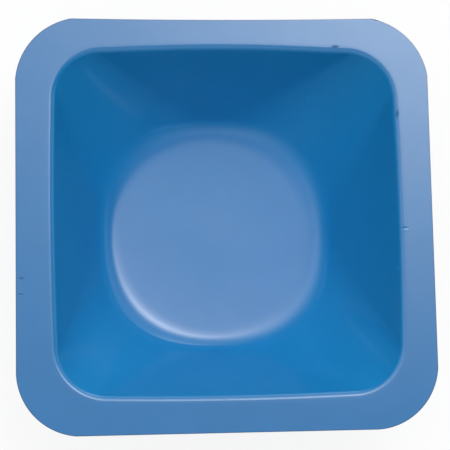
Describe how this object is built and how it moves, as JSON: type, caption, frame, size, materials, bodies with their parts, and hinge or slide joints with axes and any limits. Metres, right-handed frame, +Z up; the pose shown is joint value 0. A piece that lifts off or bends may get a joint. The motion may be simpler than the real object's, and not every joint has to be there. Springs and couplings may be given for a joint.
{
  "type": "weighing boat",
  "caption": "Square weighing boat formed from thin blue plastic sheet: flat flange, rounded corners, sloping walls and a round flat floor, for weighing out powders and liquids.",
  "frame": {"origin": "under the middle of the flange's box, on the surface that the boat stands on, and 0.2 mm from the middle of the floor", "axes": "+Z up out of the boat's opening, +X and +Y square to the sides of the bowl"},
  "size_m": [0.0892, 0.0886, 0.025],
  "materials": {
    "sheet": "satin blue polystyrene"
  },
  "bodies": {
    "root": {"weighing_boat": "sheet"}
  },
  "joints": []
}
